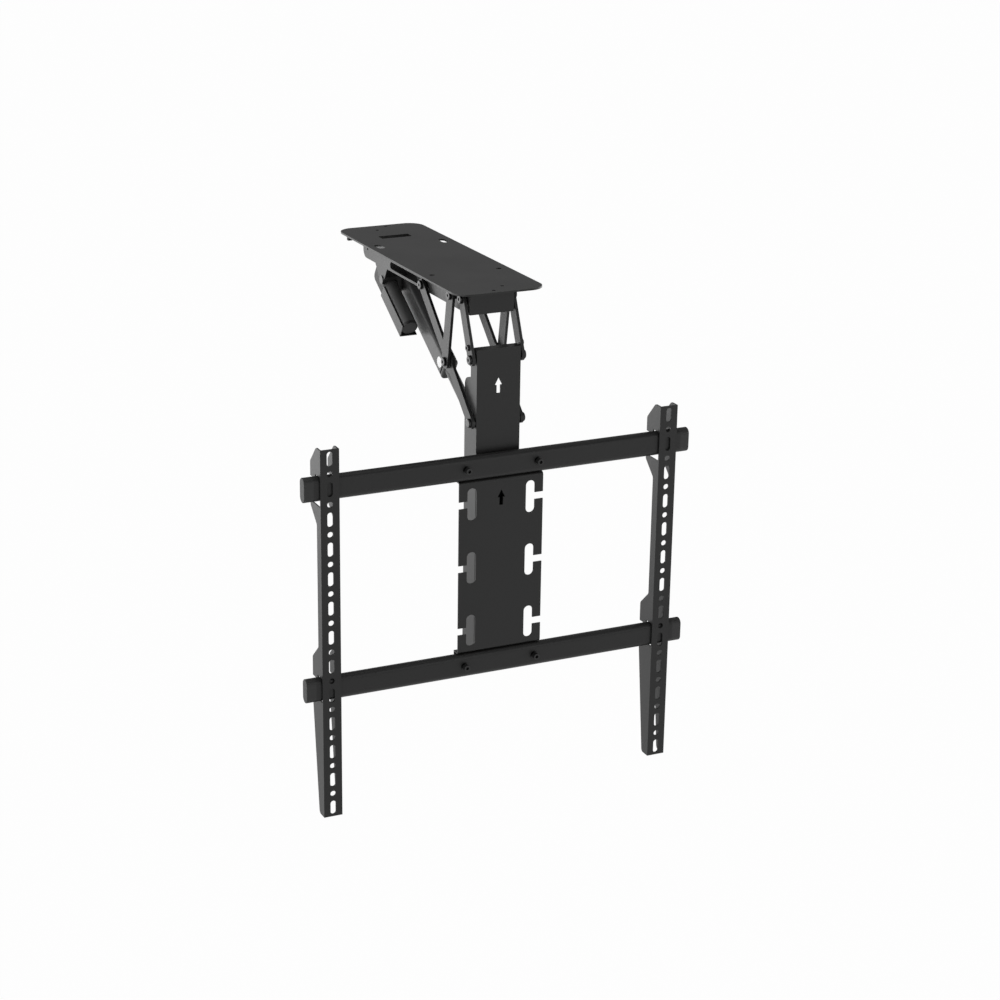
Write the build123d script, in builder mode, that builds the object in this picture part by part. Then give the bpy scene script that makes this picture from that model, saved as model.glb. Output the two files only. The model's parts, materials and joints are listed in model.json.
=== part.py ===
from build123d import *
import os
from math import acos, atan2, cos, degrees, hypot, sin, sqrt

# Motorised flip-down ceiling mount for a television.
# Origin: centre of the top face of the ceiling plate. +Z up, the screen faces -Y.
# The part is drawn lowered, with the screen upright. Lengths are millimetres.

os.makedirs("parts", exist_ok=True)

# Ceiling plate
plate_length = 522
plate_width = 156
plate_thick = 3
plate_corner = 28
anchor_half_span = 59.5
anchor_hole_r = 4.5
anchor_hole_y = -117
anchor_slot_y = 105.5
anchor_slot_r = 6
anchor_slot_length = 28
window_width = 56
window_length = 20
window_x = -3.5
window_inset = 91
window_corner = 2
pilot_r = 3
pilot_x_near = 11
pilot_x_far = 14
pilot_inset = 35
pilot_step = 22

# Carrier channel under the plate
channel_width = 77
channel_height = 42
channel_wall = 2.5
channel_length = 450
channel_inset = 41.7
channel_rear_corner = 14
channel_side_hole_r = 3
channel_side_hole_inset = 20
channel_side_hole_drop = 27

# Slot for the sliding pin, in both side walls
slot_drop = 34.5
slot_start_y = -40.8
slot_travel = 143.5
slot_height = 12.5

# Fixed pivots on the channel
pivot_drop = 21.8
rocker_pivot_inset = 49
link_pivot_inset = 19

# Linkage
rocker_length = 116.6
arm_upper_length = 150.7
arm_lower_length = 118.5
tv_pivot_spacing = 105
rocker_half_width = 11.5
link_half_width = 10
arm_half_width = 9.75
knee_r = 17.5
knee_blend = 20
inner_plate_x = 41
inner_plate_thick = 5
outer_plate_x = 47.3
outer_plate_thick = 4.7

# Pivot hardware
pivot_r = 4
axle_r = 5
bore_clear = 0.1
side_clear = 0.3
head_r = 7.6
head_height = 3.8
head_dome = 1.6
socket_r = 2.5
socket_depth = 1.6
nut_r = 6.5
nut_height = 5
knee_nut_height = 3.5
spacer_wall = 3
roller_flange_r = 9
roller_flange_thick = 2
roller_clear = 0.25
stop_stud_offset = 19.5
stop_stud_r = 5
stop_stud_height = 3.5
stop_shank_r = 2.5

# Television arm, an open channel
tv_arm_width = 77
tv_arm_wall = 2.5
tv_arm_front = 9.2
tv_arm_rise = 122
tv_arm_neck_depth = 23
tv_arm_ear_rise = 70
tv_arm_ear_depth = 45.5
tv_arm_ear_corner = 15
tv_arm_neck_corner = 6
tv_arm_foot_drop = 18.5
arrow_drop_arm = 48
arrow_drop_hanger = 20.5
arrow_length = 26.5
arrow_head_width = 13.4
arrow_head_length = 13
arrow_stem_width = 6.7

# Rails
rail_height = 41
rail_depth = 19
rail_wall = 2
rail_length = 651
rail_drop = 68
rail_spacing = 341
rail_cap_length = 16.5
rail_cap_plug = 14
rail_cap_round = 1.2
rail_bolt_x = 63.4
rail_bolt_r = 3
rail_bolt_head_r = 5.2
rail_bolt_head_height = 8
rail_washer_r = 7
rail_washer_thick = 1.5
rail_nut_r = 5.5
rail_nut_height = 5

# Hanger plate between the rails
hanger_width = 150
hanger_wall = 2
hanger_set_back = 8
hanger_gap = 1
hanger_bend = 5
hanger_flange_height = 37
hanger_slot_x = 52.2
hanger_slot_r = 8
hanger_slot_length = 55
hanger_slot_pitch = 109.5
hanger_slot_mouth = 12
spacer_width = 76
spacer_thick = 2.5
spacer_end_gap = 6

# Television brackets
bracket_x = 300
bracket_width = 32
bracket_wall = 2.5
bracket_rise = 65.4
bracket_length = 631.5
bracket_rail_gap = 1
bracket_nose = 18
bracket_hook_depth = 44
bracket_hook_rise = 37
bracket_hook_drop = 36
bracket_taper = 25
bracket_waist = 17.5
bracket_foot_rise = 46
bracket_foot_drop = 33
bracket_tail = 21
bracket_round = 6
vesa_pitch = 50
vesa_count = 13
vesa_first_drop = 15.5
vesa_slot_length = 24
vesa_slot_r = 4.75
vesa_hole_r = 4.75
hook_tooth = 8
hook_clear = 0.4

# Linear actuator
actuator_pivot_y = 146.7
actuator_pivot_drop = 69
lug_r = 8
lug_half_base = 25
lug_lead = 6
lug_touch_y_share = 0.8
lug_touch_z_share = 0.6
rod_pin_set_back = 35
rod_pin_drop = 82
tube_x = 12
tube_width = 23.6
tube_depth = 40
tube_round = 6
tube_drop = 10
tube_rear = 26
tube_front = 205
tube_cap_length = 12
tube_cap_round = 5
plug_r = 9.5
plug_height = 1
plug_inset = 11
rod_drop = 8
rod_r = 9.5
rod_wall = 2.5
rod_clear = 0.3
rod_overlap = 22
rod_eye_r = 10
rod_eye_width = 18
rod_eye_share = 0.8
rod_pin_r = 4
screw_r = 5
screw_rear = 18
screw_front_gap = 8
drive_nut_length = 18
motor_r = 14
motor_x = -21.7
motor_drop = 12.7
motor_rear = 5.5
motor_front = 102
motor_cap_length = 6
motor_cap_round = 1
gearbox_rear = 35
gearbox_half = 35.6
gearbox_round = 9
tray_wall = 1.6
tray_rear = 9.5
tray_front = 110
tray_lip_top = 5.5
tray_clear = 0.3
trunnion_r = 5
trunnion_head_r = 7.5
trunnion_depth = 9
screw_collar = 6

# Small clip under the plate edge
clip_inset = 52.3
clip_x = 73
clip_width = 8
clip_depth = 7
clip_drop = 6

overrun = 5

# Places worked out from the sizes above, as (y, z) in the side view
plate_bottom = -plate_thick
window_y = plate_length / 2 - window_inset
clip_y = plate_length / 2 - clip_inset
channel_front = -plate_length / 2 + channel_inset
channel_rear = channel_front + channel_length
channel_bottom = plate_bottom - channel_height
channel_half = channel_width / 2
rocker_pivot = (channel_front + rocker_pivot_inset, -pivot_drop)
link_pivot = (channel_front + link_pivot_inset, -pivot_drop)
slot_pin = (slot_start_y, -slot_drop)


def meet(a, reach_a, b, reach_b):
    """Lower crossing point of two circles in the side view."""
    span = hypot(b[0] - a[0], b[1] - a[1])
    bearing = atan2(b[1] - a[1], b[0] - a[0])
    inside = acos((reach_a**2 + span**2 - reach_b**2) / (2 * reach_a * span))
    turned = bearing - inside
    return (a[0] + reach_a * cos(turned), a[1] + reach_a * sin(turned))


def along(a, b, distance):
    """Point at a distance from a towards b."""
    span = hypot(b[0] - a[0], b[1] - a[1])
    return (a[0] + (b[0] - a[0]) * distance / span, a[1] + (b[1] - a[1]) * distance / span)


def middle(a, b):
    return ((a[0] + b[0]) / 2, (a[1] + b[1]) / 2)


knee = meet(rocker_pivot, rocker_length, slot_pin, arm_upper_length)
lower_pivot = along(slot_pin, knee, arm_upper_length + arm_lower_length)
upper_pivot = (lower_pivot[0], lower_pivot[1] + tv_pivot_spacing)
stop_stud = along(upper_pivot, link_pivot, stop_stud_offset)

web_front = lower_pivot[0] - tv_arm_front
rail_back = web_front - hanger_wall
rail_front = rail_back - rail_depth
bracket_front = rail_front - bracket_rail_gap - bracket_wall
top_rail_z = lower_pivot[1] - rail_drop
bottom_rail_z = top_rail_z - rail_spacing
hanger_front = bracket_front + hanger_set_back

actuator_pivot = (actuator_pivot_y, -actuator_pivot_drop)
rod_pin = (web_front + rod_pin_set_back, lower_pivot[1] - rod_pin_drop)
reach = hypot(rod_pin[0] - actuator_pivot[0], rod_pin[1] - actuator_pivot[1])
rod_reach = sqrt(reach**2 - rod_drop**2)
pin_bearing = atan2(rod_pin[1] - actuator_pivot[1], rod_pin[0] - actuator_pivot[0])
lean = pin_bearing - atan2(rod_drop, rod_reach)


def side(x):
    """Side view plane at x: sketches hold (y, z), extrusion runs to +X."""
    return Plane.YZ.offset(x)


def actuator_side(x):
    """Plane at x with its own x along the push rod and its own y below it."""
    return Plane(
        origin=(x, actuator_pivot[0], actuator_pivot[1]),
        x_dir=(0, cos(lean), sin(lean)),
        z_dir=(1, 0, 0),
    )


def actuator_end(s, x=0, drop=0):
    """Plane square to the push rod at a distance s from the actuator pivot."""
    y = actuator_pivot[0] + s * cos(lean) - drop * sin(lean)
    z = actuator_pivot[1] + s * sin(lean) + drop * cos(lean)
    return Plane(origin=(x, y, z), x_dir=(1, 0, 0), z_dir=(0, cos(lean), sin(lean)))


def keep(piece, name):
    """Label a finished piece and write it to its own file."""
    piece.part.label = name
    export_step(piece.part, f"parts/{name}.step")


def keep_pair(right, name):
    """Write a right-hand piece and its mirror image as two pieces."""
    keep(right, f"{name}_right")
    with BuildPart() as left:
        mirror(right.part, about=Plane.YZ)
    keep(left, f"{name}_left")


def keep_both_sides(right, name):
    """Write the same fastener on both sides as one group of solids."""
    with BuildPart() as both:
        add(right.part)
        mirror(right.part, about=Plane.YZ)
    keep(both, name)


def bar(a, b, half_width):
    """Round-ended bar between two points of a side view sketch."""
    span = hypot(b[0] - a[0], b[1] - a[1])
    with Locations(middle(a, b)):
        SlotCenterToCenter(span, 2 * half_width, rotation=degrees(atan2(b[1] - a[1], b[0] - a[0])))


def disc(plane, centre, radius, length, mode=Mode.ADD):
    """Cylinder whose axis runs to +X from a side view plane."""
    with BuildSketch(plane) as round_face:
        with Locations(centre):
            Circle(radius)
    extrude(round_face.sketch, amount=length, mode=mode)


def arrow(top):
    """Upward arrow cut, its tip at the top, on the current front view sketch."""
    half_head = arrow_head_width / 2
    half_stem = arrow_stem_width / 2
    shoulder = top - arrow_head_length
    tail = top - arrow_length
    with BuildLine() as outline:
        Polyline(
            (0, top),
            (half_head, shoulder),
            (half_stem, shoulder),
            (half_stem, tail),
            (-half_stem, tail),
            (-half_stem, shoulder),
            (-half_head, shoulder),
            close=True,
        )
    make_face(outline.line)


def socket_bolt(centre, head_x, tip_x, shank_r):
    """Domed socket bolt on the right side, its head outboard at head_x."""
    with BuildPart() as bolt:
        disc(side(tip_x), centre, shank_r, head_x - tip_x)
        disc(side(head_x), centre, head_r, head_height)
        fillet(bolt.edges().filter_by(GeomType.CIRCLE).sort_by(Axis.X)[-1], head_dome)
        disc(side(head_x + head_height - socket_depth), centre, socket_r, socket_depth, Mode.SUBTRACT)
    return bolt


def hex_nut(centre, x, radius, height, bore):
    """Hexagon nut from x to x + height."""
    with BuildPart() as nut:
        with BuildSketch(side(x)):
            with Locations(centre):
                RegularPolygon(radius, 6)
                Circle(bore, mode=Mode.SUBTRACT)
        extrude(amount=height)
    return nut


def ring(centre, x, outer_r, bore, length):
    """Plain bush or washer from x to x + length."""
    with BuildPart() as bush:
        with BuildSketch(side(x)):
            with Locations(centre):
                Circle(outer_r)
                Circle(bore, mode=Mode.SUBTRACT)
        extrude(amount=length)
    return bush


# Ceiling plate with its fixing holes, slots and cable window
with BuildPart() as ceiling_plate:
    with BuildSketch(Plane.XY.offset(plate_bottom)):
        RectangleRounded(plate_width, plate_length, plate_corner)
        with Locations((-anchor_half_span, anchor_hole_y), (anchor_half_span, anchor_hole_y)):
            Circle(anchor_hole_r, mode=Mode.SUBTRACT)
        with Locations((-anchor_half_span, anchor_slot_y), (anchor_half_span, anchor_slot_y)):
            SlotOverall(anchor_slot_length, 2 * anchor_slot_r, rotation=90, mode=Mode.SUBTRACT)
        with Locations((window_x, window_y)):
            RectangleRounded(window_width, window_length, window_corner, mode=Mode.SUBTRACT)
        pilot_inner = plate_length / 2 - pilot_inset
        pilot_outer = pilot_inner + pilot_step
        with Locations(
            (pilot_x_far, -pilot_inner),
            (-pilot_x_near, -pilot_outer),
            (-pilot_x_far, pilot_inner),
            (pilot_x_near, pilot_outer),
        ):
            Circle(pilot_r, mode=Mode.SUBTRACT)
    extrude(amount=plate_thick)
keep(ceiling_plate, "ceiling_plate")

# Carrier channel: folded box open below, slotted sides, lugs for the actuator
slot_end = (slot_pin[0] + slot_travel, slot_pin[1])
with BuildPart() as carrier_channel:
    with BuildSketch(side(-channel_half)):
        with BuildLine():
            Polyline(
                (channel_front, plate_bottom),
                (channel_rear, plate_bottom),
                (channel_rear, channel_bottom),
                (channel_front, channel_bottom),
                close=True,
            )
        make_face()
        rear_corner = vertices().sort_by(Axis.X)[-2:].sort_by(Axis.Y)[0]
        fillet(rear_corner, channel_rear_corner)
    extrude(amount=channel_width)
    with BuildSketch(side(-channel_half)):
        with BuildLine():
            lug_top = channel_bottom + channel_wall
            touch_y = lug_r * lug_touch_y_share
            touch_z = actuator_pivot[1] - lug_r * lug_touch_z_share
            front_touch = (actuator_pivot[0] - touch_y, touch_z)
            rear_touch = (actuator_pivot[0] + touch_y, touch_z)
            low = (actuator_pivot[0], actuator_pivot[1] - lug_r)
            rear_top = (actuator_pivot[0] + lug_half_base + lug_lead, lug_top)
            front_top = (actuator_pivot[0] - lug_half_base, lug_top)
            Polyline(rear_touch, rear_top, front_top, front_touch)
            ThreePointArc(front_touch, low, rear_touch)
        make_face()
    extrude(amount=channel_width)
    inner_half = channel_half - channel_wall
    with BuildSketch(side(-inner_half)):
        with BuildLine():
            Polyline(
                (channel_front + channel_wall, plate_bottom - channel_wall),
                (channel_rear - channel_wall, plate_bottom - channel_wall),
                (channel_rear - channel_wall, actuator_pivot[1] - lug_r - overrun),
                (channel_front + channel_wall, actuator_pivot[1] - lug_r - overrun),
                close=True,
            )
        make_face()
    extrude(amount=2 * inner_half, mode=Mode.SUBTRACT)
    with BuildSketch(side(-channel_half - overrun)):
        bar(slot_pin, slot_end, slot_height / 2)
        with Locations(rocker_pivot, link_pivot):
            Circle(pivot_r + bore_clear)
        with Locations(actuator_pivot):
            Circle(trunnion_r + bore_clear)
        with Locations((channel_rear - channel_side_hole_inset, -channel_side_hole_drop)):
            Circle(channel_side_hole_r)
    extrude(amount=channel_width + 2 * overrun, mode=Mode.SUBTRACT)
    with BuildSketch(Plane.XY.offset(plate_bottom - channel_wall)):
        with Locations((window_x, window_y)):
            RectangleRounded(window_width, window_length, window_corner)
    extrude(amount=channel_wall, mode=Mode.SUBTRACT)
keep(carrier_channel, "carrier_channel")

# Cable clip under the edge of the plate
with BuildPart() as cable_clip:
    with BuildSketch(Plane.XY.offset(plate_bottom - clip_drop)):
        with Locations((-clip_x, clip_y)):
            RectangleRounded(clip_width, clip_depth, clip_width / 8)
    extrude(amount=clip_drop)
    with BuildSketch(side(-clip_x - clip_width)):
        with Locations((clip_y, plate_bottom - clip_drop / 2)):
            Circle(clip_drop / 4)
    extrude(amount=2 * clip_width, mode=Mode.SUBTRACT)
keep(cable_clip, "cable_clip")

# Fixed pivots: bolts, nuts inside the channel, spacers outside it
inner_plate_out = inner_plate_x + inner_plate_thick
outer_plate_out = outer_plate_x + outer_plate_thick
channel_inside = channel_half - channel_wall
keep_both_sides(
    socket_bolt(rocker_pivot, outer_plate_out + side_clear, channel_inside - nut_height, pivot_r),
    "rocker_pivot_bolts",
)
keep_both_sides(
    socket_bolt(link_pivot, inner_plate_out + side_clear, channel_inside - nut_height, pivot_r),
    "link_pivot_bolts",
)
with BuildPart() as pivot_nuts:
    for centre in (rocker_pivot, link_pivot):
        add(hex_nut(centre, channel_inside - nut_height, nut_r, nut_height, pivot_r).part)
keep_both_sides(pivot_nuts, "pivot_nuts")
spacer_r = pivot_r + spacer_wall
rocker_gap = outer_plate_x - side_clear - channel_half
link_gap = inner_plate_x - side_clear - channel_half
keep_both_sides(ring(rocker_pivot, channel_half, spacer_r, pivot_r, rocker_gap), "rocker_spacers")
keep_both_sides(ring(link_pivot, channel_half, spacer_r, pivot_r, link_gap), "link_spacers")

# Rockers, outermost layer
with BuildPart() as rocker:
    with BuildSketch(side(outer_plate_x)):
        bar(rocker_pivot, knee, rocker_half_width)
        with Locations(rocker_pivot):
            Circle(pivot_r + bore_clear, mode=Mode.SUBTRACT)
        with Locations(knee):
            Circle(pivot_r, mode=Mode.SUBTRACT)
    extrude(amount=outer_plate_thick)
keep_pair(rocker, "rocker")

# Knee bolts join each rocker to its main arm
knee_nut_x = inner_plate_x - side_clear - knee_nut_height
keep_both_sides(socket_bolt(knee, outer_plate_out, knee_nut_x, pivot_r), "knee_bolts")
keep_both_sides(hex_nut(knee, knee_nut_x, nut_r, knee_nut_height, pivot_r), "knee_nuts")

# Main arms, straight bars with a swollen knee
with BuildPart() as main_arm:
    with BuildSketch(side(inner_plate_x)):
        bar(slot_pin, lower_pivot, arm_half_width)
        with Locations(knee):
            Circle(knee_r)
        with Locations(knee, slot_pin):
            Circle(pivot_r + bore_clear, mode=Mode.SUBTRACT)
        with Locations(lower_pivot):
            Circle(axle_r + bore_clear, mode=Mode.SUBTRACT)
    extrude(amount=inner_plate_thick)
    shoulders = main_arm.edges().filter_by(Axis.X).filter_by(
        lambda edge: abs(hypot(edge.center().Y - knee[0], edge.center().Z - knee[1]) - knee_r) < bore_clear
    )
    fillet(shoulders, knee_blend)
keep_pair(main_arm, "main_arm")

# Caps of the sliding pin, outside the main arms
keep_both_sides(
    socket_bolt(slot_pin, inner_plate_out, inner_plate_x, pivot_r + bore_clear),
    "slot_pin_caps",
)

# Sliding axle and its two flanged rollers
axle_half = inner_plate_x - side_clear
with BuildPart() as slot_axle:
    disc(side(-axle_half), slot_pin, pivot_r, 2 * axle_half)
keep(slot_axle, "slot_axle")
with BuildPart() as slot_rollers:
    roller_r = slot_height / 2 - roller_clear
    flange_out = channel_inside - side_clear
    with BuildSketch(side(flange_out - roller_flange_thick)):
        with Locations(slot_pin):
            Circle(roller_flange_r)
            Circle(pivot_r, mode=Mode.SUBTRACT)
    extrude(amount=roller_flange_thick)
    with BuildSketch(side(flange_out)):
        with Locations(slot_pin):
            Circle(roller_r)
            Circle(pivot_r, mode=Mode.SUBTRACT)
    extrude(amount=axle_half - flange_out)
keep_both_sides(slot_rollers, "slot_rollers")

# Front links with their stop studs
with BuildPart() as front_link:
    with BuildSketch(side(inner_plate_x)):
        bar(link_pivot, upper_pivot, link_half_width)
        with Locations(link_pivot):
            Circle(pivot_r + bore_clear, mode=Mode.SUBTRACT)
        with Locations(upper_pivot):
            Circle(pivot_r, mode=Mode.SUBTRACT)
        with Locations(stop_stud):
            Circle(stop_shank_r, mode=Mode.SUBTRACT)
    extrude(amount=inner_plate_thick)
keep_pair(front_link, "front_link")
keep_both_sides(
    socket_bolt(upper_pivot, inner_plate_out, tv_arm_width / 2 + side_clear, pivot_r),
    "link_arm_bolts",
)
with BuildPart() as stop_studs:
    disc(side(inner_plate_x), stop_stud, stop_shank_r, inner_plate_thick)
    disc(side(inner_plate_out), stop_stud, stop_stud_r, stop_stud_height)
    stud_socket = side(inner_plate_out + stop_stud_height - socket_depth)
    disc(stud_socket, stop_stud, socket_r, socket_depth, Mode.SUBTRACT)
keep_both_sides(stop_studs, "stop_studs")

# Television arm: folded channel, open behind, wide ears below the neck
tv_arm_half = tv_arm_width / 2
tv_arm_inside = tv_arm_half - tv_arm_wall
tv_arm_top = lower_pivot[1] + tv_arm_rise
tv_arm_ear = lower_pivot[1] + tv_arm_ear_rise
tv_arm_foot = bottom_rail_z - tv_arm_foot_drop
neck_back = web_front + tv_arm_neck_depth
with BuildPart() as tv_arm:
    with BuildSketch(side(-tv_arm_half)):
        with BuildLine():
            Polyline(
                (web_front, tv_arm_top),
                (web_front + tv_arm_neck_depth, tv_arm_top),
                (web_front + tv_arm_neck_depth, tv_arm_ear),
                (web_front + tv_arm_ear_depth, tv_arm_ear),
                (web_front + tv_arm_ear_depth, tv_arm_foot),
                (web_front, tv_arm_foot),
                close=True,
            )
        make_face()
        fillet(vertices().sort_by(Axis.X)[-2:], tv_arm_ear_corner)
        neck_corners = vertices().filter_by_position(Axis.X, neck_back - bore_clear, neck_back + bore_clear)
        fillet(neck_corners, tv_arm_neck_corner)
    extrude(amount=tv_arm_width)
    with BuildSketch(side(-tv_arm_inside)):
        with Locations((web_front + tv_arm_wall, tv_arm_foot - overrun)):
            Rectangle(
                tv_arm_ear_depth,
                tv_arm_top - tv_arm_wall - tv_arm_foot + overrun,
                align=(Align.MIN, Align.MIN),
            )
    extrude(amount=2 * tv_arm_inside, mode=Mode.SUBTRACT)
    with BuildSketch(side(-tv_arm_half - overrun)):
        with Locations(upper_pivot, rod_pin):
            Circle(pivot_r + bore_clear)
        with Locations(lower_pivot):
            Circle(axle_r)
    extrude(amount=tv_arm_width + 2 * overrun, mode=Mode.SUBTRACT)
    with BuildSketch(Plane.XZ.offset(-web_front)):
        arrow(tv_arm_top - arrow_drop_arm)
    extrude(amount=tv_arm_wall, dir=(0, 1, 0), mode=Mode.SUBTRACT)
keep(tv_arm, "tv_arm")

# Cross axle through the television arm and both main arms
with BuildPart() as lower_axle:
    axle_end = inner_plate_out + side_clear
    disc(side(-axle_end), lower_pivot, axle_r, 2 * axle_end)
    for start in (axle_end, -axle_end - head_height):
        disc(side(start), lower_pivot, head_r, head_height)
    rims = lower_axle.edges().filter_by(GeomType.CIRCLE).sort_by(Axis.X)
    fillet((rims[0], rims[-1]), head_dome)
keep(lower_axle, "lower_axle")
keep_both_sides(
    ring(lower_pivot, tv_arm_half, axle_r + spacer_wall, axle_r, inner_plate_x - side_clear - tv_arm_half),
    "lower_axle_spacers",
)

# Nuts that the link bolts turn in, seated in the television arm
with BuildPart() as link_arm_nuts:
    add(hex_nut(upper_pivot, tv_arm_inside - nut_height, nut_r, nut_height, stop_shank_r).part)
    with BuildSketch(side(tv_arm_inside)):
        with Locations(upper_pivot):
            Circle(pivot_r + bore_clear)
            Circle(stop_shank_r, mode=Mode.SUBTRACT)
    extrude(amount=tv_arm_wall)
keep_both_sides(link_arm_nuts, "link_arm_nuts")

# Rails: oval tubes with plastic end caps
rail_half = rail_length / 2


def rail_section(grow=0):
    SlotOverall(rail_height + 2 * grow, rail_depth + 2 * grow, rotation=90)


rail_y = rail_front + rail_depth / 2
for name, height in (("top_rail", top_rail_z), ("bottom_rail", bottom_rail_z)):
    with BuildPart() as rail:
        with BuildSketch(side(-rail_half)):
            with Locations((rail_y, height)):
                rail_section()
        extrude(amount=rail_length)
        with BuildSketch(side(-rail_half)):
            with Locations((rail_y, height)):
                rail_section(-rail_wall)
        extrude(amount=rail_length, mode=Mode.SUBTRACT)
        with BuildSketch(Plane.XZ.offset(-rail_front + overrun)):
            with Locations((-rail_bolt_x, height), (rail_bolt_x, height)):
                Circle(rail_bolt_r)
        extrude(amount=-rail_depth - 2 * overrun, mode=Mode.SUBTRACT)
    keep(rail, name)

with BuildPart() as rail_caps:
    for height in (top_rail_z, bottom_rail_z):
        with BuildSketch(side(rail_half)):
            with Locations((rail_y, height)):
                rail_section()
        extrude(amount=rail_cap_length)
        with BuildSketch(side(rail_half - rail_cap_plug)):
            with Locations((rail_y, height)):
                rail_section(-rail_wall)
        extrude(amount=rail_cap_plug)
    fillet(rail_caps.edges().group_by(Axis.X)[-1], rail_cap_round)
keep_both_sides(rail_caps, "rail_end_caps")

# Hanger plate: cranked behind both rails, slotted face between them
top_shelf = top_rail_z - rail_height / 2 - hanger_gap
bottom_shelf = bottom_rail_z + rail_height / 2 + hanger_gap
hanger_half = hanger_width / 2
with BuildPart() as hanger_plate:
    with BuildSketch(side(-hanger_half)):
        with BuildLine():
            Polyline(
                (web_front, top_shelf + hanger_flange_height),
                (rail_back, top_shelf + hanger_flange_height),
                (rail_back, top_shelf),
                (hanger_front, top_shelf),
                (hanger_front, bottom_shelf),
                (rail_back, bottom_shelf),
                (rail_back, bottom_shelf - hanger_flange_height),
                (web_front, bottom_shelf - hanger_flange_height),
                (web_front, bottom_shelf + hanger_wall),
                (hanger_front + hanger_wall, bottom_shelf + hanger_wall),
                (hanger_front + hanger_wall, top_shelf - hanger_wall),
                (web_front, top_shelf - hanger_wall),
                close=True,
            )
        make_face()
        fillet(vertices().sort_by(Axis.X)[:2], hanger_bend)
    extrude(amount=hanger_width)
    slot_middle = (top_shelf + bottom_shelf) / 2
    with BuildSketch(Plane.XZ.offset(-hanger_front)):
        for row in (-1, 0, 1):
            for hand in (-1, 1):
                with Locations((hand * hanger_slot_x, slot_middle + row * hanger_slot_pitch)):
                    SlotOverall(hanger_slot_length, 2 * hanger_slot_r, rotation=90)
                mouth_x = hand * (hanger_slot_x + hanger_half) / 2
                with Locations((mouth_x, slot_middle + row * hanger_slot_pitch)):
                    Rectangle(hanger_half - hanger_slot_x, hanger_slot_mouth)
        arrow(top_shelf - arrow_drop_hanger)
    extrude(amount=hanger_wall, dir=(0, 1, 0), mode=Mode.SUBTRACT)
    with BuildSketch(Plane.XZ.offset(-rail_back)):
        for height in (top_rail_z, bottom_rail_z):
            with Locations((-rail_bolt_x, height), (rail_bolt_x, height)):
                Circle(rail_bolt_r)
    extrude(amount=hanger_wall, dir=(0, 1, 0), mode=Mode.SUBTRACT)
keep(hanger_plate, "hanger_plate")

# Spacer channel between the hanger face and the television arm
with BuildPart() as hanger_spacer:
    spacer_half = spacer_width / 2
    spacer_top = top_shelf - hanger_wall - spacer_end_gap
    spacer_foot = bottom_shelf + hanger_wall + spacer_end_gap
    spacer_y = hanger_front + hanger_wall
    with BuildSketch(Plane.XY.offset(spacer_foot)):
        with Locations((0, (spacer_y + web_front) / 2)):
            Rectangle(spacer_width, web_front - spacer_y)
        spacer_hollow = web_front - spacer_y - spacer_thick
        with Locations((0, web_front - spacer_hollow / 2)):
            Rectangle(spacer_width - 2 * spacer_thick, spacer_hollow, mode=Mode.SUBTRACT)
    extrude(amount=spacer_top - spacer_foot)
    with BuildSketch(Plane.XZ.offset(-spacer_y)):
        arrow(top_shelf - arrow_drop_hanger)
    extrude(amount=spacer_thick, dir=(0, 1, 0), mode=Mode.SUBTRACT)
keep(hanger_spacer, "hanger_spacer")

# Rail bolts with washers in front and nuts behind
bolt_places = [(hand * rail_bolt_x, height) for hand in (-1, 1) for height in (top_rail_z, bottom_rail_z)]
with BuildPart() as rail_bolts:
    with BuildSketch(Plane.XZ.offset(-rail_front + rail_washer_thick)):
        with Locations(bolt_places):
            Circle(rail_bolt_r)
    extrude(amount=-rail_washer_thick - rail_depth - hanger_wall - rail_nut_height)
    with BuildSketch(Plane.XZ.offset(-rail_front + rail_washer_thick)):
        with Locations(bolt_places):
            Circle(rail_bolt_head_r)
    extrude(amount=rail_bolt_head_height)
    with BuildSketch(Plane.XZ.offset(-rail_front + rail_washer_thick + rail_bolt_head_height)):
        with Locations(bolt_places):
            RegularPolygon(rail_bolt_r, 6)
    extrude(amount=-rail_bolt_head_height / 2, mode=Mode.SUBTRACT)
keep(rail_bolts, "rail_bolts")
with BuildPart() as rail_washers:
    with BuildSketch(Plane.XZ.offset(-rail_front)):
        with Locations(bolt_places):
            Circle(rail_washer_r)
            Circle(rail_bolt_r, mode=Mode.SUBTRACT)
    extrude(amount=rail_washer_thick)
keep(rail_washers, "rail_washers")
with BuildPart() as rail_nuts:
    with BuildSketch(Plane.XZ.offset(-web_front)):
        with Locations(bolt_places):
            RegularPolygon(rail_nut_r, 6)
            Circle(rail_bolt_r, mode=Mode.SUBTRACT)
    extrude(amount=-rail_nut_height)
keep(rail_nuts, "rail_nuts")

# Television brackets: slotted face, side flanges cut to hook over the rails
bracket_top = top_rail_z + bracket_rise
bracket_foot = bracket_top - bracket_length
bracket_half = bracket_width / 2


def rail_notch(height, toothed):
    """Opening for a rail in a bracket flange, entered from behind."""
    roof = height + rail_height / 2 + hook_clear
    floor = height - rail_height / 2 - hook_clear - toothed * hook_tooth
    mouth = bracket_front + bracket_hook_depth + overrun
    tooth_front = rail_back + hook_clear
    with BuildLine() as outline:
        Polyline(
            (bracket_front + bracket_wall, floor),
            (bracket_front + bracket_wall, roof),
            (tooth_front, roof),
            (tooth_front, roof - hook_tooth),
            (mouth, roof - hook_tooth),
            (mouth, floor),
            close=True,
        )
    make_face(outline.line)


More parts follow.
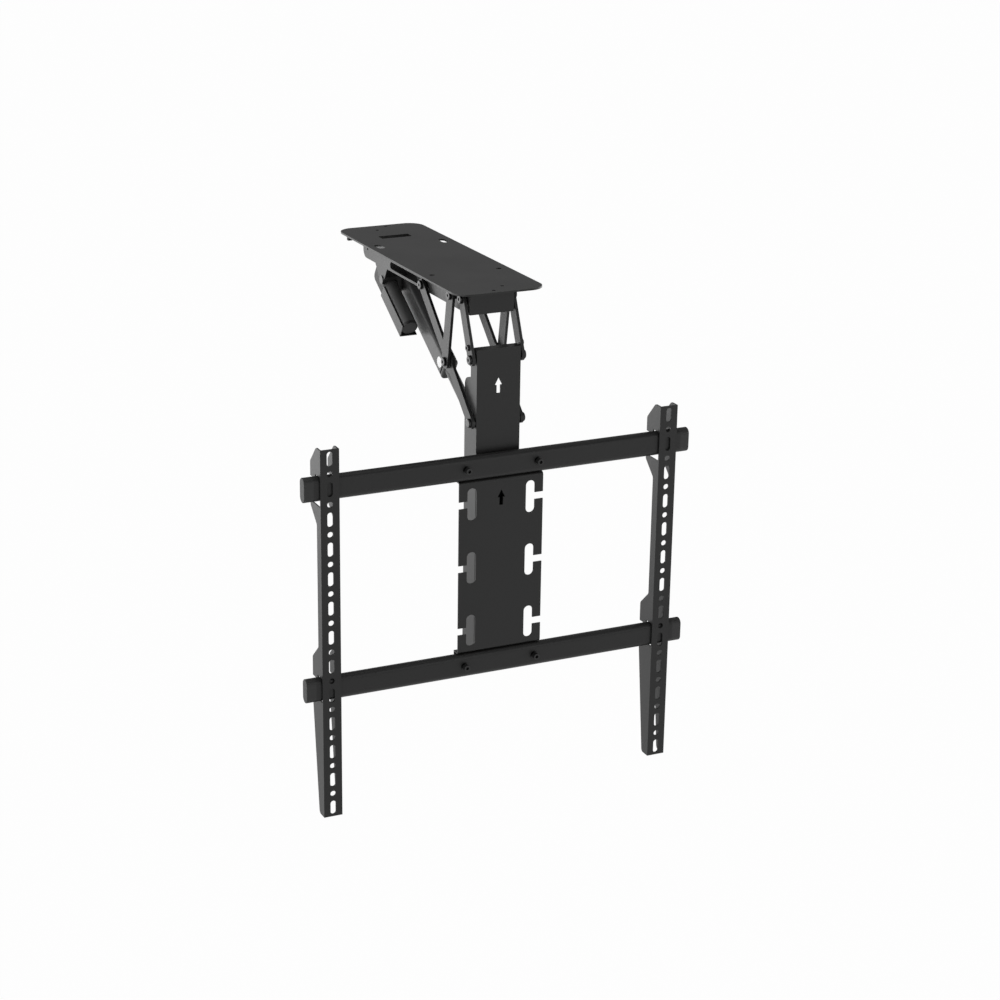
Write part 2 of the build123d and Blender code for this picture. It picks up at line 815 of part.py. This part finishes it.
with BuildPart() as bracket:
    with BuildSketch(side(bracket_x - bracket_half)):
        with BuildLine():
            Polyline(
                (bracket_front, bracket_top),
                (bracket_front + bracket_nose, bracket_top),
                (bracket_front + bracket_hook_depth, top_rail_z + bracket_hook_rise),
                (bracket_front + bracket_hook_depth, top_rail_z - bracket_hook_drop),
                (bracket_front + bracket_waist, top_rail_z - bracket_hook_drop - bracket_taper),
                (bracket_front + bracket_waist, bottom_rail_z + bracket_foot_rise + bracket_taper),
                (bracket_front + bracket_hook_depth, bottom_rail_z + bracket_foot_rise),
                (bracket_front + bracket_hook_depth, bottom_rail_z - bracket_foot_drop),
                (bracket_front + bracket_tail, bracket_foot),
                (bracket_front, bracket_foot),
                close=True,
            )
        make_face()
        fillet(vertices().sort_by(Axis.X)[2:], bracket_round)
    extrude(amount=bracket_width)
    with BuildSketch(side(bracket_x - bracket_half + bracket_wall)):
        with Locations((bracket_front + bracket_wall, bracket_foot - overrun)):
            Rectangle(
                bracket_hook_depth + overrun,
                bracket_length + 2 * overrun,
                align=(Align.MIN, Align.MIN),
            )
    extrude(amount=bracket_width - 2 * bracket_wall, mode=Mode.SUBTRACT)
    with BuildSketch(side(bracket_x - bracket_half - overrun)):
        rail_notch(top_rail_z, 1)
        rail_notch(bottom_rail_z, 0)
    extrude(amount=bracket_width + 2 * overrun, mode=Mode.SUBTRACT)
    with BuildSketch(Plane.XZ.offset(-bracket_front)):
        first = bracket_top - vesa_first_drop
        for step in range(vesa_count):
            with Locations((bracket_x, first - step * vesa_pitch)):
                SlotOverall(vesa_slot_length, 2 * vesa_slot_r, rotation=90)
        for step in range(vesa_count - 1):
            with Locations((bracket_x, first - vesa_pitch / 2 - step * vesa_pitch)):
                Circle(vesa_hole_r)
    extrude(amount=bracket_wall, dir=(0, 1, 0), mode=Mode.SUBTRACT)
keep_pair(bracket, "bracket")

# Linear actuator: outer tube bored for the push rod
rod_x = tube_x
plug_face = actuator_side(tube_x - tube_width / 2)
plug_place = (tube_front - plug_inset, tube_drop)
with BuildPart() as actuator_tube:
    with BuildSketch(actuator_end(-tube_rear, tube_x, tube_drop)):
        RectangleRounded(tube_width, tube_depth, tube_round)
    extrude(amount=tube_rear + tube_front)
    with BuildSketch(actuator_end(-tube_rear, rod_x, rod_drop)):
        Circle(rod_r + rod_clear)
    extrude(amount=tube_rear + tube_front, mode=Mode.SUBTRACT)
    disc(plug_face, plug_place, plug_r, plug_height, Mode.SUBTRACT)
keep(actuator_tube, "actuator_tube")

with BuildPart() as tube_end_cap:
    with BuildSketch(actuator_end(tube_front, tube_x, tube_drop)):
        RectangleRounded(tube_width, tube_depth, tube_round)
    extrude(amount=tube_cap_length)
    fillet(tube_end_cap.edges().sort_by(lambda edge: edge.center().Y)[:8], tube_cap_round)
    with BuildSketch(actuator_end(tube_front, rod_x, rod_drop)):
        Circle(rod_r + rod_clear)
    extrude(amount=tube_cap_length, mode=Mode.SUBTRACT)
keep(tube_end_cap, "tube_end_cap")

# White plug in the side of the tube, near its front end
with BuildPart() as tube_plug:
    disc(plug_face, plug_place, plug_r, plug_height)
keep(tube_plug, "tube_plug")

# Push rod: hollow, with a flattened eye that the rod pin fills
rod_start = tube_front - rod_overlap
rod_eye_start = rod_reach - rod_eye_r
with BuildPart() as push_rod:
    with BuildSketch(actuator_end(rod_start, rod_x, rod_drop)):
        Circle(rod_r)
    extrude(amount=rod_eye_start - rod_start)
    with BuildSketch(actuator_end(rod_start, rod_x, rod_drop)):
        Circle(rod_r - rod_wall)
    extrude(amount=rod_eye_start - rod_start - rod_r, mode=Mode.SUBTRACT)
keep(push_rod, "push_rod")
with BuildPart() as rod_eye:
    with BuildSketch(actuator_side(rod_x - rod_eye_width / 2)):
        with Locations((rod_reach, rod_drop)):
            Circle(rod_eye_r)
            Rectangle(rod_eye_r, 2 * rod_eye_r * rod_eye_share, align=(Align.MAX, Align.CENTER))
            Circle(rod_pin_r, mode=Mode.SUBTRACT)
    extrude(amount=rod_eye_width)
keep(rod_eye, "rod_eye")
rod_pin_half = tv_arm_inside - side_clear
with BuildPart() as rod_pin_shaft:
    disc(side(-rod_pin_half), rod_pin, rod_pin_r, 2 * rod_pin_half)
keep(rod_pin_shaft, "rod_pin")
with BuildPart() as rod_pin_seats:
    disc(side(tv_arm_inside), rod_pin, pivot_r + bore_clear, tv_arm_wall)
    disc(side(tv_arm_half), rod_pin, pivot_r + bore_clear + socket_depth, socket_depth)
keep_both_sides(rod_pin_seats, "rod_pin_seats")

# Lead screw inside the tube, and the nut at the rear end of the rod
with BuildPart() as lead_screw:
    with BuildSketch(actuator_end(-screw_rear, rod_x, rod_drop)):
        Circle(screw_r)
    extrude(amount=screw_rear + tube_front - screw_front_gap)
    with BuildSketch(actuator_end(-screw_rear, rod_x, rod_drop)):
        Circle(rod_r - rod_clear)
    extrude(amount=screw_collar)
keep(lead_screw, "lead_screw")
with BuildPart() as drive_nut:
    with BuildSketch(actuator_end(rod_start, rod_x, rod_drop)):
        Circle(rod_r - rod_wall)
        Circle(screw_r + bore_clear, mode=Mode.SUBTRACT)
    extrude(amount=drive_nut_length)
keep(drive_nut, "drive_nut")

# Motor: cylindrical can and its front cap
with BuildPart() as motor_can:
    with BuildSketch(actuator_end(motor_rear, motor_x, motor_drop)):
        Circle(motor_r)
    extrude(amount=motor_front - motor_rear)
keep(motor_can, "motor_can")
with BuildPart() as motor_cap:
    with BuildSketch(actuator_end(motor_front, motor_x, motor_drop)):
        Circle(motor_r)
    extrude(amount=motor_cap_length)
    fillet(motor_cap.edges().sort_by(Axis.Y)[0], motor_cap_round)
keep(motor_cap, "motor_cap")

# Gearbox shell behind the motor and the tube, with the trunnions in its sides
gearbox_top = tube_drop - tube_depth / 2
gearbox_low = motor_drop + motor_r + tray_clear
with BuildPart() as gearbox_housing:
    with BuildSketch(actuator_side(-gearbox_half)):
        with Locations((-gearbox_rear, gearbox_top)):
            Rectangle(gearbox_rear + motor_rear, gearbox_low - gearbox_top, align=(Align.MIN, Align.MIN))
        fillet(vertices().sort_by(Axis.X)[:2], gearbox_round)
    extrude(amount=2 * gearbox_half)
    with BuildSketch(actuator_end(-tube_rear, tube_x, tube_drop)):
        RectangleRounded(tube_width, tube_depth, tube_round)
    extrude(amount=tube_rear + motor_rear + overrun, mode=Mode.SUBTRACT)
    for start in (-gearbox_half, gearbox_half - trunnion_depth):
        with BuildSketch(actuator_side(start)) as pin_seat:
            Circle(trunnion_r)
        extrude(pin_seat.sketch, amount=trunnion_depth, mode=Mode.SUBTRACT)
keep(gearbox_housing, "gearbox_housing")

# Steel tray below the motor, with a tall lip on its open side
tray_left = motor_x - motor_r - tray_clear
with BuildPart() as motor_tray:
    with BuildSketch(actuator_end(tray_rear, 0, gearbox_low)):
        with Locations((tray_left - tray_wall, 0)):
            Rectangle(2 * motor_r + 2 * tray_wall, tray_wall, align=(Align.MIN, Align.MAX))
            Rectangle(tray_wall, gearbox_low - tray_lip_top, align=(Align.MIN, Align.MIN))
    extrude(amount=tray_front - tray_rear)
    outer_edges = motor_tray.edges().filter_by(GeomType.LINE).group_by(Axis.X)[0]
    fillet(outer_edges.sort_by(Axis.Z)[:1], tray_wall / 2)
keep(motor_tray, "motor_tray")

# Trunnion pins through the lugs into the gearbox shell
with BuildPart() as trunnion_pins:
    pin_start = gearbox_half - trunnion_depth
    disc(side(pin_start), actuator_pivot, trunnion_r - bore_clear, channel_half - pin_start)
    disc(side(channel_half), actuator_pivot, trunnion_head_r, socket_depth)
keep_both_sides(trunnion_pins, "trunnion_pins")
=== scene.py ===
# %% [markdown]
# # Flip-down ceiling mount: finishes, welds, light and camera
# The steelwork comes in as a fixed frame with every plate, link and bolt already in place.
# This lesson gives each piece its finish, adds the weld beads that hold the channel to the
# ceiling plate, and sets up the studio. Everything is in metres, in the mount's own frame.

# %% Load the frame
import bpy
import json
import math
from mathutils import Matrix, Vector


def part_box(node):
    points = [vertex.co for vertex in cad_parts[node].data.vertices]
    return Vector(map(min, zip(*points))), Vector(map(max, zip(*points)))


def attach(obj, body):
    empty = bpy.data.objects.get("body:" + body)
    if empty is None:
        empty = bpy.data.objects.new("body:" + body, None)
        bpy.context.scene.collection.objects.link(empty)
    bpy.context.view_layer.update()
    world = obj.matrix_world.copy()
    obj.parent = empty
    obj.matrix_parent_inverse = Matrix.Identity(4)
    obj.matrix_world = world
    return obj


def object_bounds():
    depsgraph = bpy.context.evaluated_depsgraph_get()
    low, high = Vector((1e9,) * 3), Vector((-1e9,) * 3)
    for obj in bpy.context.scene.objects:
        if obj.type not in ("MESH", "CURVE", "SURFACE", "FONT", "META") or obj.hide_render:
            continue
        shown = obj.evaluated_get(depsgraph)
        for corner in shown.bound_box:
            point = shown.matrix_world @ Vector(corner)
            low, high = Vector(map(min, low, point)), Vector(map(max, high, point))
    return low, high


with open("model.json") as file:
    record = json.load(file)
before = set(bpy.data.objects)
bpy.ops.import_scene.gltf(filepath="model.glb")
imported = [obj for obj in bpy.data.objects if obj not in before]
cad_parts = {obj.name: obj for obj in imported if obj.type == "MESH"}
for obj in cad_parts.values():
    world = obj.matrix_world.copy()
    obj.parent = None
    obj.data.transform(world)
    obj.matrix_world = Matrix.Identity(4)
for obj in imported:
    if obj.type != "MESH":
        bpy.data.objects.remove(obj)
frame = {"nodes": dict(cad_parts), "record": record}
cad_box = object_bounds()

MM = 0.001

# %% [markdown]
# ## Shader maths as plain Python
# A finish is mostly small sums: a mask from noise, a colour mixed by the mask, a bump from both.
# A small class wraps a node socket, so that the sums read as sums and the nodes appear by
# themselves. One method makes every other node.


# %% Sockets that add up
class Val:
    """A shader socket that can be used in sums."""

    def __init__(self, paint, socket):
        self.paint = paint
        self.socket = socket

    def maths(self, operation, *others):
        return self.paint.node("ShaderNodeMath", {"operation": operation}, [self, *others])

    def __add__(self, other):
        return self.maths("ADD", other)

    def __mul__(self, other):
        return self.maths("MULTIPLY", other)

    def __sub__(self, other):
        return self.maths("SUBTRACT", other)

    def __rsub__(self, other):
        return self.paint.node("ShaderNodeMath", {"operation": "SUBTRACT"}, [other, self])

    __radd__ = __add__
    __rmul__ = __mul__


# A mix node has sockets for every kind of value, and its colours use these
COLOUR_A = 6
COLOUR_B = 7
COLOUR_RESULT = 2


class Paint:
    """A material with its node tree and one method that makes any node."""

    def __init__(self, name):
        self.material = bpy.data.materials.new(name)
        self.material.use_nodes = True
        self.tree = self.material.node_tree
        self.shader = self.tree.nodes["Principled BSDF"]

    def node(self, kind, settings=None, inputs=None, output=0):
        made = self.tree.nodes.new(kind)
        for key, value in (settings or {}).items():
            setattr(made, key, value)
        pairs = inputs.items() if isinstance(inputs, dict) else enumerate(inputs or [])
        for key, value in pairs:
            self.join(made.inputs[key], value)
        return Val(self, made.outputs[output])

    def join(self, socket, value):
        if isinstance(value, Val):
            self.tree.links.new(value.socket, socket)
        else:
            socket.default_value = value

    def place(self):
        return self.node("ShaderNodeTexCoord", output="Object")

    def noise(self, scale, detail=2.0, roughness=0.5):
        inputs = {"Vector": self.place(), "Scale": scale, "Detail": detail, "Roughness": roughness}
        return self.node("ShaderNodeTexNoise", inputs=inputs, output="Fac")

    def ramp(self, value, low, high):
        """Stretch value so that low becomes 0 and high becomes 1."""
        inputs = {"Value": value, "From Min": low, "From Max": high}
        return self.node("ShaderNodeMapRange", inputs=inputs)

    def mix(self, factor, dark, light):
        inputs = {"Factor": factor, COLOUR_A: dark, COLOUR_B: light}
        return self.node("ShaderNodeMix", {"data_type": "RGBA"}, inputs, output=COLOUR_RESULT)

    def bump(self, height, strength, distance):
        inputs = {"Height": height, "Strength": strength, "Distance": distance}
        self.join(self.shader.inputs["Normal"], self.node("ShaderNodeBump", inputs=inputs))

    def set(self, **values):
        for name, value in values.items():
            self.join(self.shader.inputs[name.replace("_", " ")], value)


def grey(level, warmth=0.0):
    """A grey that a little warmth turns towards red, or towards blue when it is negative."""
    return (level * (1 + warmth), level, level * (1 - warmth), 1.0)


def around(level, share, warmth=0.0):
    """Two greys, one a share darker than the level and one as much lighter."""
    return grey(level * (1 - share), warmth), grey(level * (1 + share), -warmth)


print("a level of 0.05 as a colour:", grey(0.05))


# %% [markdown]
# ## Powder coat on the steelwork
# The plates, links, rails and brackets are black powder-coated steel. Powder melts into a skin
# with a very fine orange peel and a satin sheen. The peel is a fine noise in a bump, a slower
# noise moves the colour and the roughness a little, and a third one marks the few places that
# hands have rubbed smoother. The aluminium tube is the same skin, only thinner and a little
# lighter. The motor's paint is the same skin, also thinner, and its lighter level is painted
# light:
# it stands in for the light that the tray's flank keeps off the can. So one function makes all
# three.

# %% Powder coat
finishes = {}
COAT_SHEEN = 0.3
COAT_ROUGHNESS = 0.36
# The peel, seen up close
PEEL_DETAIL = 3.0
PEEL_STRENGTH = 0.35
# The slow drift, in waves to the metre, and what it moves
COAT_DRIFT = 9.0
DRIFT_SHADE = 0.12
DRIFT_BLUR = 0.1
# The rubbed places: their noise, the part of it that counts, and how much smoother they are
COAT_RUB = 60.0
RUB_DETAIL = 5.0
RUB_COARSE = 0.65
RUB_FROM = 0.62
RUB_TO = 0.8
RUB_POLISH = 0.08


def powder_coat(name, level, peel_scale, peel_height):
    paint = Paint(name)
    peel = paint.noise(peel_scale, detail=PEEL_DETAIL)
    drift = paint.noise(COAT_DRIFT)
    hands = paint.noise(COAT_RUB, detail=RUB_DETAIL, roughness=RUB_COARSE)
    rub = paint.ramp(hands, RUB_FROM, RUB_TO)
    paint.set(
        Base_Color=paint.mix(drift, *around(level, DRIFT_SHADE)),
        Roughness=COAT_ROUGHNESS + drift * DRIFT_BLUR - rub * RUB_POLISH,
        Specular_IOR_Level=COAT_SHEEN,
    )
    paint.bump(peel, PEEL_STRENGTH, peel_height)
    finishes[name] = paint.material


powder_coat("coated_steel", level=0.016, peel_scale=900.0, peel_height=0.05 * MM)
powder_coat("anodised_aluminium", level=0.05, peel_scale=1600.0, peel_height=0.02 * MM)
# The motor's level is raised as painted light, standing in for the light that the tray's flank
# keeps off the can.
powder_coat("motor_paint", level=0.07, peel_scale=1300.0, peel_height=0.03 * MM)
print("coats:", list(finishes))

# %% [markdown]
# ## Plated and blackened fasteners
# Bolt heads, nuts and axles are black zinc, the screws black oxide, and the drive nut is brass.
# Turning leaves fine rings, which at this size only blur the shine, so one fine noise in the
# roughness and in a faint bump is enough. A slow stain in the colour keeps a row of bolts from
# looking stamped.

# %% Fastener metals
# The turning marks, in grains to the metre, and what they blur
METAL_GRAIN = 700.0
GRAIN_DETAIL = 4.0
GRAIN_COARSE = 0.7
GRAIN_BLUR = 0.12
GRAIN_STRENGTH = 0.2
GRAIN_HEIGHT = 0.03 * MM
# The stain, and how far it moves the colour
METAL_STAIN = 90.0
STAIN_DETAIL = 3.0
STAIN_SHADE = 0.18
STAIN_WARMTH = 0.01


def plated_metal(name, level, roughness, metallic=1.0):
    paint = Paint(name)
    grain = paint.noise(METAL_GRAIN, detail=GRAIN_DETAIL, roughness=GRAIN_COARSE)
    stain = paint.noise(METAL_STAIN, detail=STAIN_DETAIL)
    paint.set(
        Base_Color=paint.mix(stain, *around(level, STAIN_SHADE, warmth=STAIN_WARMTH)),
        Roughness=roughness + grain * GRAIN_BLUR,
        Metallic=metallic,
    )
    paint.bump(grain, GRAIN_STRENGTH, GRAIN_HEIGHT)
    finishes[name] = paint.material


plated_metal("plated_steel", level=0.03, roughness=0.12)
plated_metal("black_screw", level=0.03, roughness=0.3, metallic=0.6)
plated_metal("brass", level=0.5, roughness=0.3)
print("with metals:", list(finishes))

# %% [markdown]
# ## Moulded plastic
# End caps and covers are black nylon from a spark-eroded mould: a fine even grain and no metal
# shine. The white plug in the actuator is the same plastic without the pigment.

# %% Moulded plastic
# The mould's grain, and what it blurs
MOULD_GRAIN = 1400.0
MOULD_BLUR = 0.12
MOULD_STRENGTH = 0.4
MOULD_HEIGHT = 0.06 * MM
# The slow drift of the colour
MOULD_DRIFT = 25.0
MOULD_SHADE = 0.1


def moulded(name, level, roughness):
    paint = Paint(name)
    grain = paint.noise(MOULD_GRAIN)
    drift = paint.noise(MOULD_DRIFT)
    paint.set(
        Base_Color=paint.mix(drift, *around(level, MOULD_SHADE)),
        Roughness=roughness + grain * MOULD_BLUR,
    )
    paint.bump(grain, MOULD_STRENGTH, MOULD_HEIGHT)
    finishes[name] = paint.material


moulded("black_plastic", level=0.012, roughness=0.5)
moulded("white_plastic", level=0.8, roughness=0.4)
print("all finishes:", len(finishes))

# %% [markdown]
# ## One finish for each piece
# The record names a finish for every piece of the frame. The frame's own meshes stay as they
# are, and only their material slot is filled.

# %% Give every node its finish
slot_of = {row["node"]: row["material_slot"] for row in frame["record"]["subparts"]}
for node_name, node in frame["nodes"].items():
    node.data.materials.clear()
    node.data.materials.append(finishes[slot_of[node_name]])
print("pieces dressed:", len(slot_of))

# %% [markdown]
# ## Stitch welds under the plate
# The channel is held to the ceiling plate by short arc welds along both of its top edges. The
# plate hides them in the usual view, but they show from below, and without them nothing would
# join the two. Their places are shares of the channel's length, measured on the frame.

# %% Where the welds go
plate_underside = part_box("ceiling_plate")[0][2]
channel_low, channel_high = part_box("carrier_channel")
channel_length = channel_high[1] - channel_low[1]
WELD_LENGTH = 30 * MM
WELD_LEG = 3.2 * MM
WELD_RINGS = 16
WELD_SIDES = 20
WELD_SHARES = (0.07, 0.36, 0.64, 0.93)
SWELL = 1.16
TAPER = 0.5
SMOOTH_UNDER = 50
weld_places = [channel_low[1] + share * channel_length for share in WELD_SHARES]
print("welds a side:", len(weld_places))

# %% [markdown]
# ## The shape of a bead
# A weld bead is a ripple of frozen drops that fills a corner. It could be sculpted or drawn by a
# bump, but a bead this small reads best from a few real rings. It starts as a cylinder lying in
# the corner, cut into rings. Every second ring is swollen, the ends are drawn in, and what would
# lie inside the steel is cut away.

# %% One bead
def pick(mesh, test):
    """Select the points that pass the test, and nothing else."""
    bpy.ops.mesh.select_all(action="DESELECT")
    bpy.ops.object.mode_set(mode="OBJECT")
    for point in mesh.vertices:
        point.select = test(point.co)
    bpy.ops.object.mode_set(mode="EDIT")


def weld_bead(name, hand, y):
    corner = (hand * channel_high[0], y, plate_underside)
    bpy.ops.object.select_all(action="DESELECT")
    bpy.ops.mesh.primitive_cylinder_add(
        vertices=WELD_SIDES, radius=WELD_LEG, depth=WELD_LENGTH,
        location=corner, rotation=(math.pi / 2, 0, 0),
    )
    bead = bpy.context.object
    bead.name = name
    bpy.ops.object.transform_apply(location=True, rotation=True)
    bpy.ops.object.mode_set(mode="EDIT")
    bpy.ops.mesh.select_mode(type="VERT")
    step = WELD_LENGTH / WELD_RINGS
    start = y - WELD_LENGTH / 2
    for ring in range(1, WELD_RINGS):
        bpy.ops.mesh.select_all(action="SELECT")
        bpy.ops.mesh.bisect(plane_co=(0, start + ring * step, 0), plane_no=(0, 1, 0))
    pick(bead.data, lambda co: round((co.y - start) / step) % 2 == 1)
    bpy.ops.transform.resize(value=(SWELL, 1, SWELL), center_override=corner)
    pick(bead.data, lambda co: abs(co.y - y) > WELD_LENGTH / 2 - step / 2)
    bpy.ops.transform.resize(value=(TAPER, 1, TAPER), center_override=corner)
    bpy.ops.mesh.select_all(action="SELECT")
    bpy.ops.mesh.bisect(plane_co=corner, plane_no=(hand, 0, 0), clear_inner=True, use_fill=True)
    bpy.ops.mesh.select_all(action="SELECT")
    bpy.ops.mesh.bisect(plane_co=corner, plane_no=(0, 0, 1), clear_outer=True, use_fill=True)
    bpy.ops.mesh.select_all(action="SELECT")
    bpy.ops.mesh.normals_make_consistent(inside=False)
    bpy.ops.object.mode_set(mode="OBJECT")
    bpy.ops.object.shade_smooth_by_angle(angle=math.radians(SMOOTH_UNDER))
    return bead


print("rings in a bead:", WELD_RINGS, "legs of", round(WELD_LEG / MM, 1), "mm")

# %% [markdown]
# ## Copies along both sides
# The first bead of each side is modelled, and the others are copies of it, each with its own mesh
# that is moved along the corner. They take the coat of the steel, because the frame is coated
# after welding, and they ride on the body that stays at the ceiling.

# %% Beads along both sides
for hand, side_name in ((-1, "left"), (1, "right")):
    first = weld_bead(f"stitch_weld_{side_name}_1", hand, weld_places[0])
    beads = [first]
    for number, y in enumerate(weld_places[1:], start=2):
        bead = first.copy()
        bead.data = first.data.copy()
        bead.name = f"stitch_weld_{side_name}_{number}"
        bpy.context.collection.objects.link(bead)
        bpy.ops.object.select_all(action="DESELECT")
        bead.select_set(True)
        bpy.context.view_layer.objects.active = bead
        bead.location.y = y - weld_places[0]
        bpy.ops.object.transform_apply(location=True)
        beads.append(bead)
    for bead in beads:
        bead.data.materials.append(finishes["coated_steel"])
        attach(bead, "ceiling_frame")
print("beads made:", 2 * len(weld_places))

# %% [markdown]
# ## Floor and backdrop
# The mount hangs from a ceiling and is photographed on white, so a pale floor lies a room's
# height below and takes the soft shadow. Light Path tells which ray asks: to the camera and in
# reflections the floor is white, and every other ray finds ordinary pale paint. The coat picks
# up its grey sheen from that white floor, and no light is added to the steel.

# %% Floor
FLOOR_DROP = 3.4
FLOOR_SIZE = 240.0
FLOOR_PAINT = 0.8
FLOOR_WHITE = 0.98
FLOOR_ROUGHNESS = 0.9
floor_z = cad_box[0][2] - FLOOR_DROP
bpy.ops.object.select_all(action="DESELECT")
bpy.ops.mesh.primitive_plane_add(size=FLOOR_SIZE, location=(0.0, 0.0, floor_z))
floor = bpy.context.object
floor.name = "studio_floor"
bpy.ops.object.transform_apply(location=True)
floor_paint = Paint("studio_floor")
floor_paint.set(Base_Color=grey(FLOOR_PAINT), Roughness=FLOOR_ROUGHNESS)
glow = floor_paint.node("ShaderNodeEmission", inputs={"Color": grey(1.0), "Strength": 1.0})
camera_ray = floor_paint.node("ShaderNodeLightPath", output="Is Camera Ray")
mirror_ray = floor_paint.node("ShaderNodeLightPath", output="Is Glossy Ray")
cover = (camera_ray + mirror_ray) * FLOOR_WHITE
lit = Val(floor_paint, floor_paint.shader.outputs[0])
blend = floor_paint.node("ShaderNodeMixShader", inputs=[cover, lit, glow])
floor_paint.join(floor_paint.tree.nodes["Material Output"].inputs["Surface"], blend)
floor.data.materials.append(floor_paint.material)
print("floor at", round(floor_z, 2))

# %% [markdown]
# ## World
# The world is a plain grey sky. It lights the steel at the ambient level, shows white to the
# camera and a middle grey in reflections, so that upward faces keep a soft sheen.

# %% World
class Sky(Paint):
    """The same node maker for the world's tree."""

    def __init__(self):
        self.world = bpy.data.worlds.new("studio")
        self.world.use_nodes = True
        self.tree = self.world.node_tree
        self.shader = self.tree.nodes["Background"]


AMBIENT = 0.32
MIRRORED = 0.36
sky = Sky()
bpy.context.scene.world = sky.world
seen = sky.node("ShaderNodeLightPath", output="Is Camera Ray")
through = sky.node("ShaderNodeLightPath", output="Is Transmission Ray")
shone = sky.node("ShaderNodeLightPath", output="Is Glossy Ray")
strength = AMBIENT + (seen + through) * (1.0 - AMBIENT) + shone * (MIRRORED - AMBIENT)
sky.set(Color=grey(1.0), Strength=strength)
print("ambient:", AMBIENT, "mirrored:", MIRRORED)

# %% [markdown]
# ## Soft lamps
# Large weak panels stand round the mount, as softboxes would. The left and rear banks face the
# flanks of the links and brackets, which then read lighter than the fronts. The other low
# panels do the same for whoever walks round the mount, and the top bank and the front fill keep
# the upward and forward faces from going flat.

# %% Soft lamps
MIDDLE = (0.0, -0.1, -0.35)
# Each lamp's place, its width and height, and its power
lamps = {
    "left_bank": ((-2.8, 0.7, 0.2), (2.4, 2.6), 60.0),
    "rear_bank": ((-1.3, 2.6, -0.6), (2.4, 1.6), 19.0),
    "left_front": ((-2.6, -1.9, -1.0), (2.4, 1.6), 19.0),
    "right_bank": ((2.8, 0.6, -0.3), (2.2, 2.2), 30.0),
    "right_front": ((3.0, -1.1, -1.0), (2.0, 1.6), 16.0),
    "back_fill": ((0.8, 3.2, -0.8), (1.6, 1.2), 12.0),
    "top_bank": ((-0.4, -0.3, 2.4), (2.2, 2.2), 15.0),
    "front_fill": ((1.2, -3.0, 0.6), (1.8, 1.8), 12.0),
}


def soft_lamp(name, place, size, power):
    lamp = bpy.data.lights.new(name, "AREA")
    lamp.shape = "RECTANGLE"
    lamp.size, lamp.size_y = size
    lamp.energy = power
    holder = bpy.data.objects.new(name, lamp)
    bpy.context.collection.objects.link(holder)
    holder.location = place
    holder.rotation_euler = (Vector(MIDDLE) - Vector(place)).to_track_quat("-Z", "Y").to_euler()


for lamp_name, (place, size, power) in lamps.items():
    soft_lamp(lamp_name, place, size, power)
print("lamps:", len(lamps))

# %% [markdown]
# ## Camera
# A long lens, a little above the mount and to its left, looking down at the frame. The sideways
# shift keeps the mount left of centre, as a product page crops it.

# %% Camera
LENS = 82.06
SENSOR = 36.0
YAW = 22.94
PITCH = 19.21
LEFT_OF_CENTRE = 0.10
STAND = (-1.5092, -3.4092, 0.8685)
camera_data = bpy.data.cameras.new("product_camera")
camera_data.lens = LENS
camera_data.sensor_width = SENSOR
camera_data.shift_x = LEFT_OF_CENTRE
camera = bpy.data.objects.new("product_camera", camera_data)
bpy.context.collection.objects.link(camera)
camera.location = STAND
camera.rotation_euler = (math.radians(90.0 - PITCH), 0.0, math.radians(-YAW))
bpy.context.scene.camera = camera
bpy.context.scene.view_settings.view_transform = "Standard"
print("lens:", LENS)
